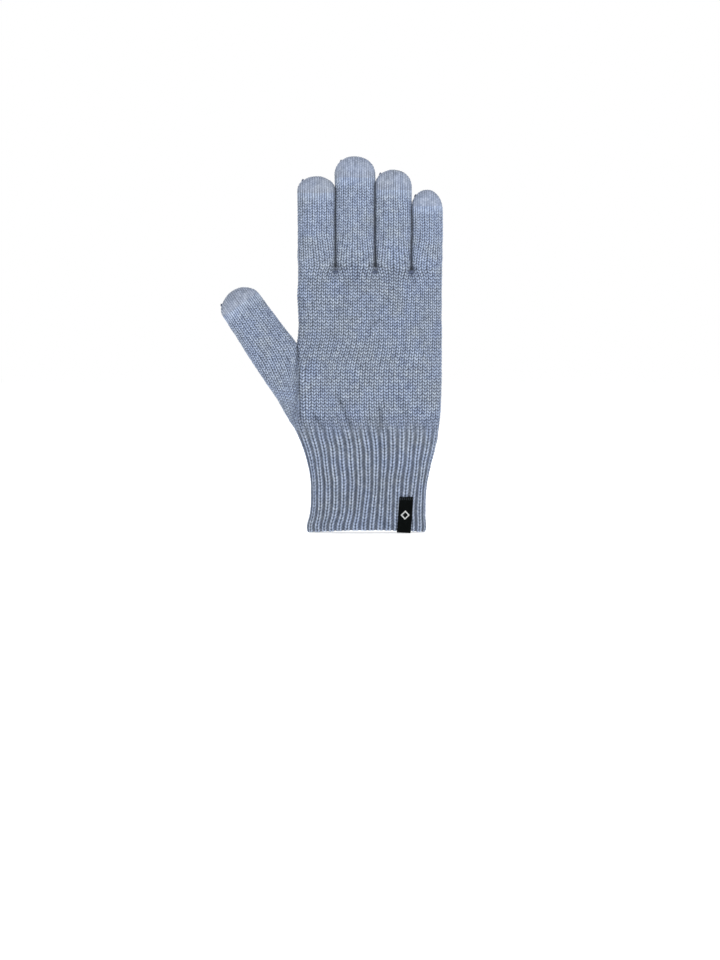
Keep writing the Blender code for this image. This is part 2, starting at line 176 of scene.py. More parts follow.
# The threads' radii, and for each coil half its bar's length, its radius and its turns.
LABEL_THREAD, TACK_THREAD, KNOT_THREAD = 0.20, 0.34, 0.27
TACK_COIL = (1.7, 0.70, 5)
KNOT_COIL = (0.75, 0.42, 3)

WORLD_LIGHT = 0.34
FLOOR_HALF = 3.0  # in metres, as are the camera's distance and the height of its view
VIEW_AIM = (-4.29, 0, 33.66)
VIEW_DISTANCE, VIEW_HEIGHT, SENSOR = 2.3, 0.6336, 24.0
VIEW_LIFT = math.radians(3.5)


def smooth(t):
    t = np.clip(t, 0.0, 1.0)
    return t * t * (3 - 2 * t)


def mix(a, b, t):
    return a + (b - a) * t


def nearness(distance, width):
    """1 at a distance of nought, and falling away over a width."""
    return np.exp(-((distance / width) ** 2))


def half_round(distance):
    """The height of a half circle of radius 1 at a distance from its middle, and 0 outside it."""
    return np.sqrt(np.clip(1 - distance**2, 0, 1))


def arc_length(x, y):
    """How far along a curve each of its points lies."""
    return np.concatenate([[0], np.cumsum(np.hypot(np.diff(x), np.diff(y)))])


def curve(rows, t):
    """A smooth curve through rows of (t, value, ...), at each t."""
    table = np.asarray(rows, float)
    x, y = table[:, 0], table[:, 1:]
    slope = np.gradient(y, x, axis=0)
    t = np.clip(np.asarray(t, float), x[0], x[-1])
    i = np.clip(np.searchsorted(x, t) - 1, 0, len(x) - 2)
    step = (x[i + 1] - x[i])[..., None]
    s = ((t - x[i]) / (x[i + 1] - x[i]))[..., None]
    start = (2 * s**3 - 3 * s**2 + 1) * y[i] + (s**3 - 2 * s**2 + s) * step * slope[i]
    end = (3 * s**2 - 2 * s**3) * y[i + 1] + (s**3 - s**2) * step * slope[i + 1]
    return start + end


def value_noise(x, y, seed):
    """Smooth noise between -1 and 1 over a plane, one cell to each unit."""
    table = np.random.default_rng(seed).uniform(-1, 1, (64, 64))
    i, j = np.floor(x).astype(int), np.floor(y).astype(int)
    fx, fy = smooth(x - i), smooth(y - j)
    low = mix(table[i % 64, j % 64], table[(i + 1) % 64, j % 64], fx)
    high = mix(table[i % 64, (j + 1) % 64], table[(i + 1) % 64, (j + 1) % 64], fx)
    return mix(low, high, fy)


def stitch_noise(wale, course, seed):
    """A number between -1 and 1 for each whole stitch."""
    table = np.random.default_rng(seed).uniform(-1, 1, (97, 89))
    return table[np.floor(wale).astype(int) % 97, np.floor(course).astype(int) % 89]


# ---------------- the height of the yarn


# Each stitch below gives the yarn's height, and a level from 0 to 1 from which its colour is painted darker down
# between the grains: painted shade.
def legs(u, course, reach, spread, lean, length, width):
    """The height of the two legs of each stitch in a wale: a V of two slanting grains.

    u is the distance from the wale's middle, in wales, and reach is a course's height over a wale's width.
    A leg's middle stands spread off the wale's middle, and it leans out by lean as it rises.
    """
    height = np.zeros(np.broadcast(u, course).shape)
    for row in (-1, 0, 1):
        up = (course - np.floor(course) - 0.5 - row) * reach
        out = np.abs(u) - spread
        along = (out * math.sin(lean) + up * math.cos(lean)) / length
        beside = (out * math.cos(lean) - up * math.sin(lean)) / width
        grain = half_round(np.hypot(along, beside))
        height = np.maximum(height, grain * (0.86 - 0.2 * along))
    return height


def stocking_stitch(wale, course, drawn):
    """Plain knitting, seen from its right side. Where it is drawn out lengthways, its legs stand steeper."""
    u = wale - np.floor(wale) - 0.5 + 0.05 * stitch_noise(wale, course, 12)
    plump = 1 + 0.20 * stitch_noise(wale, course, 11)
    course = course + LEG_SKEW * np.sign(u)
    level = legs(u, course, LEG_REACH, 0.245, 0.42 - 0.16 * drawn, 0.42 + 0.11 * drawn, 0.185)
    return YARN_RISE * (level * plump - 0.60), level


def touch_stitch(wale, course):
    """Conductive yarn knitted finer, in which each leg runs straight on into the next."""
    u = wale - np.floor(wale) - 0.5
    cord = half_round((np.abs(u) - 0.25) / 0.25)
    beat = np.cos(2 * math.pi * (course + 0.5 * (u > 0)))
    level = cord * (0.85 + 0.15 * beat)
    return TOUCH_RISE * (level - 0.75), level


def rib_ridge(wale):
    """One wale out, one wale in: the first stands up as a ridge and the second sinks into the groove."""
    u = (wale + 0.5) % 2 - 1
    return smooth((1.0 - np.abs(u)) / 0.28)


def rib_stitch(wale, course):
    """The stitches along each ridge of the rib."""
    u = (wale + 0.5) % 2 - 1
    column = legs(u, course, LEG_REACH, 0.40, 0.46, 0.50, 0.27)
    plump = 1 + 0.10 * stitch_noise(wale / 2 + 0.25, course, 14)
    # Down in the groove the yarn crosses over in small level bars.
    bar = half_round((1 - np.abs(u)) / 0.30) * (0.26 + 0.12 * np.cos(2 * math.pi * course))
    column = np.maximum(column, bar)
    return YARN_RISE * (column * plump - 0.65), column


# ---------------- measures taken from the CAD


def from_frame(point):
    """A place in the CAD's frame, as one worked out here."""
    return (np.array(point) - SHIFT) / MM


def to_frame(point):
    """A place worked out here, as one in the CAD's frame."""
    return tuple(np.asarray(point, float) * MM + SHIFT)


def digit_from_cad(name, joints):
    """A digit's folds, direction, widths and depths."""
    tip_low, tip_high = map(from_frame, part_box(f"{name}_touch_tip"))
    base_low, base_high = map(from_frame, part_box(f"{name}_base_sleeve"))
    folds = [from_frame(joint["pos_m"]) for joint in joints]
    along = (folds[-1] - folds[0]) / np.linalg.norm(folds[-1] - folds[0])
    return SimpleNamespace(
        name=name,
        folds=folds,
        along=along,
        across=np.cross((0, 1, 0), along),
        root_depth=(base_high - base_low)[1] / 2,
        tip_depth=(tip_high - tip_low)[1] / 2,
        root_half=(base_high - base_low)[0] / 2 + SIDE_EASE[name],
        tip_half=(tip_high - tip_low)[0] / 2 + SIDE_EASE[name],
        top=tip_high[2],
        dome=DOME[name],
        meets=[0.0, 0.0],
    )


def digits_from_cad():
    joints = {joint["name"]: joint for joint in frame["joints"]}
    found = {}
    for name in FRONT_WALES:
        folds = [joints[f"{name}_{place}_bend"] for place in ("base", "middle", "tip")]
        found[name] = digit_from_cad(name, folds)
    names = list(found)
    for a, b in zip(names, names[1:]):
        height = min(found[name].top - found[name].dome for name in (a, b))
        found[a].meets[1] = found[b].meets[0] = height
    thumb = digit_from_cad("thumb", [joints[f"thumb_{place}_bend"] for place in ("base", "tip")])
    thumb.root = thumb.folds[0] - thumb.along * THUMB_ROOT
    thumb.root_half, thumb.tip_half = THUMB_HALVES
    return found, thumb


# ---------------- base surfaces


def oval_depth(x, left, right, half_depth, power):
    place = np.clip(np.abs((2 * x - left - right) / (right - left)), 0, 1)
    return half_depth * (1 - place**power) ** (1 / power)


def side_power(name, offset):
    """The power of a digit's section at an offset from its middle, to the left or to the right."""
    touching = np.where(offset < 0, *TOUCHING.get(name, (False, False)))
    return np.where(touching, TOUCHING_POWER, DIGIT_POWER)


def crotch_drop(x):
    """How far the row where the fingers part dips towards the little finger."""
    return -CROTCH_DIP * smooth((x - 6) / 24)


def hem_droop(x, height):
    """How far the hem, and what is near it, hangs down at a place across the cuff."""
    return smooth(1 - height / HEM_FADE) * HEM_DROOP * ((x / CUFF_HALF) ** 2 - 0.5)


def body_row(z, fingers):
    """One face's row of the cuff or the hand at a height: x and depth at each column, left to right."""
    left, right, half_depth = curve(BODY, np.array(z))
    names = list(fingers)
    gaps = []
    for a, b in zip(names, names[1:]):
        right_side = fingers[a].folds[0][0] + fingers[a].root_half
        left_side = fingers[b].folds[0][0] - fingers[b].root_half
        gaps.append((right_side + left_side) / 2)
    edges = [left, *gaps, right]
    valley = np.clip((z - CROTCH + VALLEY) / VALLEY, 0, 1) ** 2.2
    xs, depths = [], []
    for name, low, high in zip(names, edges, edges[1:]):
        turn = np.linspace(0, math.pi, 41)[1 if xs else 0 :]
        x = (low + high) / 2 - (high - low) / 2 * np.cos(turn)
        hand = oval_depth(x, left, right, half_depth, BODY_POWER)
        lobe = oval_depth(x, low, high, fingers[name].root_depth, side_power(name, x - (low + high) / 2))
        xs.append(x)
        depths.append(mix(hand, lobe, valley))
    x, depth = np.concatenate(xs), np.concatenate(depths)
    arc = arc_length(x, depth)
    counts = np.cumsum([0] + [FRONT_WALES[name] for name in names])
    even = arc[-1] * counts / HALF_WALES
    bounds = mix(even, np.interp(edges, x, arc), smooth((z - CROTCH + SPREAD) / SPREAD))
    at = np.interp(np.arange(HALF_WALES * ACROSS + 1) / ACROSS, counts, bounds)
    beside = at / PULL_REACH
    pulled = PULL * smooth((PULL_TOP - z) / PULL_FADE) * smooth((z - PULL_FOOT) / PULL_FADE)
    at = at + pulled * smooth(beside) * smooth(2.1 - beside)
    return np.interp(at, arc, x), np.interp(at, arc, depth)


def closed_rings(x, depth, z):
    """Rings round a tube from one face's rows: the back of the hand, then the palm."""
    front = np.stack([x, -depth, z], axis=-1)
    back = np.stack([x, depth, z], axis=-1)[:, ::-1][:, 1:-1]
    return np.concatenate([front, back], axis=1)


def courses_over(length, course_height):
    """The course of each row of a grid over a length, and how far along it that is, from 0 to 1."""
    courses = round(length / course_height)
    course = np.arange(courses * ALONG + 1) / ALONG
    return course, course / courses


def body_grid(fingers):
    """The base of the cuff and the hand, from the hem to where the fingers part."""
    course, reached = courses_over(CROTCH, COURSE)
    height = reached[:, None] * CROTCH
    rows = [body_row(z, fingers) for z in height[:, 0]]
    x = np.array([row[0] for row in rows])
    depth = np.array([row[1] for row in rows])
    z = height + crotch_drop(x) * smooth((height - 120) / (CROTCH - 120))
    middle = (x[:, :1] + x[:, -1:]) / 2
    z = z - hem_droop(x - middle, height)
    wale = np.arange(2 * HALF_WALES * ACROSS) / ACROSS
    return closed_rings(x, depth, z), wale, course


def unit_oval(name):
    """A ring (x, y) of half size 1, from its left edge over the back to the right and round the palm."""
    turn = np.linspace(0, 2 * math.pi, 241)
    power = 2 / side_power(name, -np.cos(turn))
    x = -np.sign(np.cos(turn)) * np.abs(np.cos(turn)) ** power
    y = -np.sign(np.sin(turn)) * np.abs(np.sin(turn)) ** power
    return x, y


def spaced_oval(name, half, depth, share):
    """The unit oval's points at shares of the way round an oval of that size."""
    x, y = unit_oval(name)
    arc = arc_length(x * half, y * depth)
    at = share % 1.0 * arc[-1]
    return np.interp(at, arc, x), np.interp(at, arc, y)


def dome_rings(digit, last, wale, centre, half, depth):
    """The rings of a domed tip above a digit's last straight ring, and the stitch at each of their points.

    last is the unit oval's (x, y) at each column. On the dome the wales run straight up, so a point's wale is
    the one that stands below it, and its course is its distance over the dome from that wale's foot.
    """
    rise = digit.dome
    steps = round((half + rise) / 2 * math.pi / 2 / DIGIT_COURSE * ALONG)
    angle = np.linspace(0, math.pi / 2, steps + 1)[1:, None]
    unit_x, unit_y = last
    x, y = unit_x * np.cos(angle), unit_y * np.cos(angle)
    up = np.sin(angle) + 0 * x
    points = (
        centre
        + x[..., None] * half * digit.across
        + y[..., None] * depth * np.array((0, 1, 0))
        + up[..., None] * rise * digit.along
    )
    back = unit_y <= 1e-9
    below = []
    for face in (back, ~back):
        order = np.argsort(unit_x[face])
        below.append(np.interp(x, unit_x[face][order], wale[face][order]))
    foot_depth = oval_depth(x, -1, 1, depth, side_power(digit.name, x))
    own_rise = rise * np.sqrt(np.clip(1 - x**2, 1e-6, 1))
    reach = np.arcsin(np.clip(up * rise / own_rise, 0, 1))
    parts = 12
    middle = (np.arange(parts) + 0.5) / parts * reach[..., None]
    speed = np.hypot(own_rise[..., None] * np.cos(middle), foot_depth[..., None] * np.sin(middle))
    distance = speed.mean(axis=-1) * reach
    return points, np.where(back, *below), distance / DIGIT_COURSE


def domed(grid, wale, course, dome):
    """The straight rings of a digit and its dome as one: points, and the wale and course of each."""
    points, dome_wale, dome_course = dome
    wales = np.concatenate([np.broadcast_to(wale, grid.shape[:2]), dome_wale])
    courses = np.concatenate([np.broadcast_to(course[:, None], grid.shape[:2]), course[-1] + dome_course])
    return np.concatenate([grid, points]), wales, courses


def root_ring(back, palm, sides):
    """The hand's last row round one finger, in the order of its columns. Both faces run left to right."""
    right = np.repeat(back[-1:], max(sides[1] * ACROSS - 1, 0), axis=0)
    left = np.repeat(back[:1], max(sides[0] * ACROSS - 1, 0), axis=0)
    palm = palm[::-1][0 if sides[1] else 1 : None if sides[0] else -1]
    return np.concatenate([back, right, palm, left])


def finger_grid(digit, root):
    """The base of a finger from the hand to its tip. root is the hand's own last row round it."""
    count, sides = FRONT_WALES[digit.name], SIDE_WALES[digit.name]
    foot = CROTCH + crotch_drop(digit.folds[0][0])
    straight = digit.top - digit.dome - foot
    course, reached = courses_over(straight, DIGIT_COURSE)
    total = 2 * count + sum(sides)
    wale = np.arange(total * ACROSS) / ACROSS
    rings = []
    for rise in reached * straight:
        grown = smooth(rise / GROWTH)
        widths = np.repeat([1, grown, 1, grown], [count, sides[1], count, sides[0]])
        bounds = np.concatenate([[0], np.cumsum(widths)]) / widths.sum()
        start = sides[0] * grown / 2 / widths.sum()
        share = np.interp(wale, np.arange(total + 1), bounds) + start
        half = mix(digit.root_half, digit.tip_half, rise / straight)
        depth = mix(digit.root_depth, digit.tip_depth, rise / straight)
        last = spaced_oval(digit.name, half, depth, share)
        bead = TOUCH_BEAD * (side_power(digit.name, last[0]) == TOUCHING_POWER) * smooth(rise / 4)
        bead = bead * nearness(last[1] * depth, 1.3) * last[0]
        x = last[0] * half + bead + digit.folds[0][0]
        rings.append(np.stack([x, last[1] * depth, 0 * x + foot + rise], axis=-1))
    grid = np.array(rings)
    ease = 1 - smooth(course / 4.0)
    grid = grid + ease[:, None, None] * (root - grid[0])
    centre = np.array((digit.folds[0][0], 0, foot + straight))
    # Past the middle of the left side, the wales are counted back from the first one.
    signed = np.where((last[1] <= 1e-9) & (wale > total / 2), wale - total, wale)
    return domed(grid, wale, course, dome_rings(digit, last, signed, centre, half, depth))


def thumb_grid(thumb):
    """The base of the thumb, from inside the cuff to its tip."""
    start, end = GUSSET[0][0], THUMB_LENGTH - thumb.dome
    course, reached = courses_over(end - start, DIGIT_COURSE)
    distances = mix(start, end, reached)
    rows = list(GUSSET)
    for distance in (0.0, 12.0, 24.0, end):
        half = mix(thumb.root_half, thumb.tip_half, distance / end)
        middle = thumb.root + thumb.along * distance
        outer, inner = middle - thumb.across * half, middle + thumb.across * half
        depth = mix(thumb.root_depth, thumb.tip_depth, distance / end)
        rows.append((distance, outer[0], outer[2], inner[0], inner[2], depth))
    place = curve(rows, distances)
    wale = np.arange(2 * THUMB_WALES * ACROSS) / ACROSS
    rings = []
    for outer_x, outer_z, inner_x, inner_z, depth in place:
        half = math.hypot(inner_x - outer_x, inner_z - outer_z) / 2
        last = spaced_oval("thumb", half, depth, wale / wale.size * ACROSS)
        x = mix(outer_x, inner_x, (last[0] + 1) / 2)
        z = mix(outer_z, inner_z, (last[0] + 1) / 2)
        rings.append(np.stack([x, last[1] * depth, z], axis=-1))
    grid = np.array(rings)
    centre = thumb.root + thumb.along * end
    dome = dome_rings(thumb, last, wale, centre, half, depth)
    return *domed(grid, wale, course, dome), distances


# ---------------- shaping two surfaces together


def grid_faces(rows, columns, wrap=True):
    """The corners of each quad of a grid of points."""
    start = np.arange(rows * columns).reshape(rows, columns)
    ahead = np.roll(start, -1, axis=1)
    faces = np.stack([start[:-1], ahead[:-1], ahead[1:], start[1:]], axis=-1)
    return (faces if wrap else faces[:, :-1]).reshape(-1, 4)


def depth_over(grid, x, z):
    """How deep a closed tube reaches at places (x, z), seen from the front, and OUTSIDE where it isn't."""
    coarse = grid[::ALONG, :: ACROSS // 2]
    faces = grid_faces(*coarse.shape[:2])
    tree = BVHTree.FromPolygons(coarse.reshape(-1, 3).tolist(), faces.tolist())
    found = np.full(x.shape, OUTSIDE)
    for i in np.ndindex(x.shape):
        hit = tree.ray_cast(Vector((x[i], -60.0, z[i])), Vector((0, 1, 0)))[0]
        if hit is not None:
            found[i] = -hit.y
    return found


def outward(y):
    """1 on the palm, -1 on the back, and smoothly between them at the edges."""
    return np.where(y > 0, 1.0, -1.0) * smooth(np.abs(y) / 3.0)


def pull_together(grid, other, near):
    """Swells a surface a little where another one leaves it, and says how deep inside the other it runs."""
    x, y, z = np.moveaxis(grid, -1, 0)
    inside = np.full(x.shape, OUTSIDE)
    inside[near] = depth_over(other, x[near], z[near]) - np.abs(y[near])
    bulge = np.clip(CREASE_SOFTNESS - np.abs(inside), 0, None) ** 2 / (4 * CREASE_SOFTNESS)
    crease = CREASE_DEPTH * nearness(inside, 1.5) * smooth((z - 66) / 14)
    shaped = grid.copy()
    shaped[..., 1] += outward(y) * (bulge - crease)
    return shaped, inside


def crease_shade(inside, points):
    """Fibres squeezed down in the crease beside the thumb catch less light."""
    return 1 - 0.4 * nearness(inside, 1.6) * smooth((points[..., 2] - 64) / 14)


def gap_shade(digit, points):
    """Fibres between two fingers catch less light, as far up as the fingers touch."""
    offset, _, z = np.moveaxis(points - digit.folds[0], -1, 0)
    z = z + digit.folds[0][2]
    reach = np.abs(offset).max(axis=1, keepdims=True)
    met = smooth((np.where(offset < 0, *digit.meets) + 4 - z) / 5)
    return 1 - 0.85 * met * nearness(reach - np.abs(offset), 1.15)


# ---------------- meshes


def add_object(name, data, place=(0, 0, 0)):
    made = bpy.data.objects.new(name, data)
    made.location = place
    bpy.context.scene.collection.objects.link(made)
    return made


def normals_of(grid):
    """The outward normals of a tube whose columns run left to right on the back of the hand."""
    across = np.roll(grid, -1, axis=1) - np.roll(grid, 1, axis=1)
    normal = np.cross(across, np.gradient(grid, axis=0))
    length = np.linalg.norm(normal, axis=-1, keepdims=True)
    return normal / np.maximum(length, 1e-9)


def quad_mesh(name, points, faces, material, height, maps=None):
    """A mesh object from arrays in millimetres. maps holds a (u, v) for each point, by the map's name."""
    used = np.unique(faces)
    index = np.full(len(points), -1)
    index[used] = np.arange(len(used))
    points, faces = points[used], index[faces]
    mesh = bpy.data.meshes.new(name)
    mesh.vertices.add(len(points))
    mesh.vertices.foreach_set("co", (points * MM + SHIFT).astype(np.float32).ravel())
    mesh.loops.add(faces.size)
    mesh.loops.foreach_set("vertex_index", faces.astype(np.int32).ravel())
    mesh.polygons.add(len(faces))
    mesh.polygons.foreach_set("loop_start", np.arange(0, faces.size, 4, dtype=np.int32))
    mesh.update(calc_edges=True)
    mesh.polygons.foreach_set("use_smooth", np.ones(len(faces), bool))
    for map_name, values in (maps or {}).items():
        layer = mesh.uv_layers.new(name=map_name)
        layer.data.foreach_set("uv", values[used][faces].astype(np.float32).ravel())
    # The height given here is the level of the yarn's painted shade, kept on each point for its material.
    attribute = mesh.attributes.new("painted_shade_level", "FLOAT", "POINT")
    attribute.data.foreach_set("value", height.ravel()[used].astype(np.float32))
    mesh.materials.append(material)
    return add_object(name, mesh)


def piece(name, cloth, rows, material, nodes):
    """One piece of a knitted tube: the rows of the cloth from the first to the last one given."""
    part = slice(rows[0], rows[1] + 1)
    # The seam column is doubled, so that the charts don't wrap.
    fields = (cloth.points, cloth.wale, cloth.course, cloth.height, cloth.hidden)
    doubled = (np.concatenate([field[part], field[part][:, :1]], axis=1) for field in fields)
    points, wale, course, height, hidden = doubled
    wale[:, -1] = np.where(wale[:, -1] < wale[:, -2] - 1, wale[:, -1] + cloth.wales, wale[:, -1])
    shape = wale.shape
    faces = grid_faces(*shape, wrap=False)
    faces = faces[hidden.ravel()[faces].min(axis=1) < HIDDEN_DEPTH]
    chart = np.meshgrid(*(np.linspace(0.002, 0.998, count) for count in shape[::-1]))
    maps = {"Stitch": (wale, course), BAKE_MAP: chart}
    maps = {label: np.stack(pair, axis=-1).reshape(-1, 2) for label, pair in maps.items()}
    made = quad_mesh(name, points.reshape(-1, 3), faces, material, height, maps)
    weld(made)
    if nodes:
        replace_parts(made, *nodes)
    return made


def weld(made):
    """Joins the seam's doubled points. The maps stay apart there, since they belong to the faces' corners."""
    edited = bmesh.new()
    edited.from_mesh(made.data)
    bmesh.ops.remove_doubles(edited, verts=edited.verts, dist=1e-6)
    edited.to_mesh(made.data)
    edited.free()


# ---------------- the knitted pieces


def body_cloth(fingers, thumb_base):
    """The cuff, with its hem and the start of its inside, and the hand."""
    grid, wale, course = body_grid(fingers)
    grid = with_relief(grid)
    x, _, z = np.moveaxis(grid, -1, 0)
    near = (x < -12) & (z > 48) & (z < 132)
    grid, hidden = pull_together(grid, thumb_base, near)

    # Inside the cuff the rows are counted down from the hem.
    count = round(INSIDE_HEIGHT / COURSE) * ALONG
    normal = normals_of(grid)[: count + 1]
    over = np.clip(1 - course[: count + 1] * COURSE / HEM_ROLL, 0, 1)
    round_off = HEM_RADIUS * (1 - np.sqrt(1 - over**2))
    inside = grid[: count + 1] - normal * (2 * HEM_RADIUS - round_off)[:, None, None]
    grid[: count + 1] -= normal * round_off[:, None, None]
    points = np.concatenate([inside[:0:-1], grid])
    course = np.concatenate([-course[count:0:-1], course])
    hidden = np.concatenate([np.full(inside[1:].shape[:2], OUTSIDE), hidden])

    wales = np.broadcast_to(wale, points.shape[:2])
    courses = np.broadcast_to(course[:, None], points.shape[:2])
    # A ridge outside is a groove inside.
    shown = wales + (courses < 0)
    rib, rib_level = rib_stitch(shown, courses)
    plain, plain_level = loosened(points, *stocking_stitch(wales, courses, 0.0))
    ridge = rib_ridge(shown)
    fade = faded(points, RIB_FADE)
    sunk = RIB_RISE * (1 - ridge) * (1 - faded(points, RIDGE_FADE))
    sunk = sunk * mix(0.35, 1.0, smooth(np.abs(courses) / 1.2))
    sunk = sunk * (0.90 + 0.45 * value_noise(points[..., 0] / 8.5, points[..., 2] / 27, 24))
    height = mix(rib, plain, fade) - sunk - label_press(points)
    # Painted shade: the rib's grooves are painted darker than its ridges.
    level = mix(rib_level * mix(0.6, 1.0, ridge), plain_level, fade)
    raised = wander(points + normals_of(points) * height[..., None])
    level = level * crease_shade(hidden, points) * pinch_shade(points)
    return SimpleNamespace(
        points=raised,
        grid=points,
        wale=wales,
        course=courses,
        # height holds the level of the painted shade, not a height.
        height=level,
        hidden=hidden,
        wales=2 * HALF_WALES,
        cut=int(np.argmin(np.abs(points[:, 0, 2] - CUFF_CUT) + (course < 0) * 1000)),
    )


def finger_cloth(digit, body):
    """A finger, sewn without a seam to the hand's last row."""
    names = list(FRONT_WALES)
    before = sum(FRONT_WALES[name] for name in names[: names.index(digit.name)])
    columns = np.arange(before * ACROSS, (before + FRONT_WALES[digit.name]) * ACROSS + 1)
    total = 2 * HALF_WALES * ACROSS
    sides = SIDE_WALES[digit.name]
    bare = root_ring(body.grid[-1][columns], body.grid[-1][-columns % total], sides)
    sewn = root_ring(body.points[-1][columns], body.points[-1][-columns % total], sides)
    points, wale, course = finger_grid(digit, bare)
    points = with_relief(points)
    points[0] = bare
    cloth = digit_cloth(digit, points, wale, course)
    cloth.height = cloth.height * gap_shade(digit, points) * pinch_shade(points)
    foot = CROTCH + crotch_drop(digit.folds[0][0])
    growing = np.ones(points.shape[:2])
    front = FRONT_WALES[digit.name] * ACROSS
    right = sides[1] * ACROSS
    grown = smooth((points[:, 0, 2] - foot) / GROWTH)[:, None]
    growing[:, front : front + right] = grown
    growing[:, 2 * front + right :] = grown
    finish_digit(cloth, growing)
    cloth.points[0] = sewn
    cloth.start = np.array((digit.folds[0][0], 0, foot))
    return cloth


def thumb_cloth(thumb, points, wale, course, hidden):
    cloth = digit_cloth(thumb, points, wale, course)
    cloth.hidden[: len(hidden)] = hidden
    cloth.height = cloth.height * crease_shade(cloth.hidden, points)
    finish_digit(cloth, np.ones(points.shape[:2]))
    cloth.start = thumb.root
    return cloth


def digit_cloth(digit, points, wale, course):
    """Chooses the stitch at each point of a digit: stocking stitch, then the conductive yarn of its tip."""
    along = points @ digit.along
    highest = along[-1].mean()
    edge = highest - TOUCH_LENGTH[digit.name]
    plain, plain_level = loosened(points, *stocking_stitch(wale, course, 0.35))
    touch, touch_level = touch_stitch(wale, course)
    fade = smooth((along - edge) / 9.0 + 0.93)
    height, level = mix(plain, touch, fade), mix(plain_level, touch_level, fade)
    if digit.name == "thumb":
        rib, rib_level = rib_stitch(wale, course)
        top = faded(points, RIB_FADE)
        sunk = RIB_RISE * (1 - rib_ridge(wale)) * (1 - faded(points, RIDGE_FADE))
        height, level = mix(rib, height, top) - sunk, mix(rib_level, level, top)
    return SimpleNamespace(
        grid=points,
        rise=height,
        wale=wale,
        course=course,
        # height holds the level of the painted shade, not a height.
        height=level,
        hidden=np.full(points.shape[:2], OUTSIDE),
        wales=wale[0].size / ACROSS,
    )


def finish_digit(cloth, growing):
    """Raises a digit's yarn off its base, less where a wale is still growing to its full width."""
    normal = normals_of(cloth.grid)
    raised = cloth.grid + normal * (cloth.rise * growing)[..., None]
    # The last row is the pole of the dome.
    raised[-1] = raised[-2].mean(axis=0)
    cloth.points = wander(raised)


def loosened(points, height, level):
    """Opens wider holes between the stitches at the roots of the middle and the ring finger, and paints them
    darker: painted shade.
    """
    x, _, z = np.moveaxis(points, -1, 0)
    loose = nearness(z - 171, 7) * (nearness(x + 8, 9) + 0.5 * nearness(x - 21, 12))
    hole = loose * smooth((0.75 - level) / 0.5)
    return height - 0.35 * hole, level * (1 - 0.6 * hole)


def faded(points, heights):
    return smooth((points[..., 2] - heights[0]) / (heights[1] - heights[0]))


def folded(x, z, width):
    """How near each place is to the bottom of a fold of that width, from 0 to 1."""
    near = np.zeros(x.shape)
    for fold_x, top, lean, length in LOW_FOLDS:
        down = (top - z) / length
        across = x - fold_x - lean * (top - z)
        near = np.maximum(near, smooth(3 * down) * smooth(3 - 3 * down) * nearness(across, width))
    return near


def pinch_shade(points):
    """Squeezed fibres at the bottom of the folds and round the tacks catch less light."""
    x, _, z = np.moveaxis(points, -1, 0)
    shade = 1 - 0.42 * folded(x, z, 1.2)
    for gap, rise in TACKS:
        above = z - CROTCH - rise - crotch_drop(x)
        shade = shade - 0.55 * nearness(x - gap, 2.4) * nearness(above, 1.5)
    return shade


def with_relief(points):
    """Soft shapes in the fabric: puffs under the finger roots, and shallow folds low in the hand."""
    x, y, z = np.moveaxis(points, -1, 0)
    relief = 0.35 * value_noise(x / 15, z / 21, 21)
    for middle, height in PUFFS:
        relief = relief + 1.1 * nearness(x - middle, 6.5) * nearness(z - height, 7.0)
    low_folds = smooth((z - 60) / 10) * smooth((118 - z) / 36)
    relief = relief + 0.75 * low_folds * value_noise(x / 7.5 + 3, z / 44, 22)
    relief = relief - 1.2 * folded(x, z, 2.6) - 0.8 * folded(x, z, 1.2)
    # The fingers' first row is a little tight beside each valley, which leaves a nick.
    row = nearness(z - CROTCH - 0.6 - crotch_drop(x), 0.9)
    relief = relief - 0.35 * row * smooth((x + 24) / 4)
    for gap, _ in TACKS:
        relief = relief - 0.7 * row * np.exp(-(np.abs((x - gap) / 5.5) ** 3))
    shaped = points.copy()
    shaped[..., 1] += outward(y) * relief
    return shaped


def wander(points):
    """Knitting is never quite even, so its rows and columns stray a little."""
    x, y, z = np.moveaxis(points, -1, 0)
    face = np.where(y > 0, 40.0, 0.0)
    low = smooth((70 - z) / 30) * smooth((37 - np.abs(x)) / 8)
    sideways = 0.30 * value_noise(x / 11 + face, z / 13, 31) + 0.10 * value_noise(x / 3.1, z / 4.2, 32)
    sideways = sideways + 0.75 * low * value_noise(x / 19 + face, z / 15 + 5, 35)
    upwards = 0.30 * value_noise(x / 12 + face, z / 12, 33) + 0.12 * value_noise(x / 3.3, z / 3.7, 34)
    return points + np.stack([sideways, 0 * y, upwards], axis=-1)


# ---------------- the label and the threads


def label_press(points):
    """How far the label squeezes the rib under it."""
    x, y, z = np.moveaxis(points, -1, 0)
    across = np.abs(x - LABEL_X - LABEL_LEAN * z) - LABEL_WIDTH / 2
    return 0.45 * smooth(0.5 - across / 1.6) * smooth((LABEL_HEIGHT + 1.5 - z) / 3) * (y < 0)


def cuff_surface(x, height):
    """The cuff's back at a place across it and a height, without the rib."""
    left, right, half_depth = np.moveaxis(curve(BODY, height), -1, 0)
    return oval_depth(x, left, right, half_depth, BODY_POWER)


def label_point(share, way, off):
    """A point of the label. way is the height on the outside, and goes on below zero round the hem."""
    share, way, off = np.broadcast_arrays(*(np.asarray(v, float) for v in (share, way, off)))
    turn = np.clip((HEM_RADIUS - way) / (HEM_RADIUS + LABEL_OFF), 0, math.pi)
    past = np.clip(HEM_RADIUS - way - math.pi * (HEM_RADIUS + LABEL_OFF), 0, None)
    level = np.where(way > HEM_RADIUS, way, HEM_RADIUS)
    height = level - (HEM_RADIUS + off) * np.sin(turn) + past
    out = (HEM_RADIUS + off) * np.cos(turn) - HEM_RADIUS
    x = LABEL_X + LABEL_LEAN * np.clip(way, -2, None) + LABEL_WIDTH * share
    above = np.clip(height, 0, None)
    return np.stack([x, -cuff_surface(x, above) - out, height - hem_droop(x, above)], axis=-1)


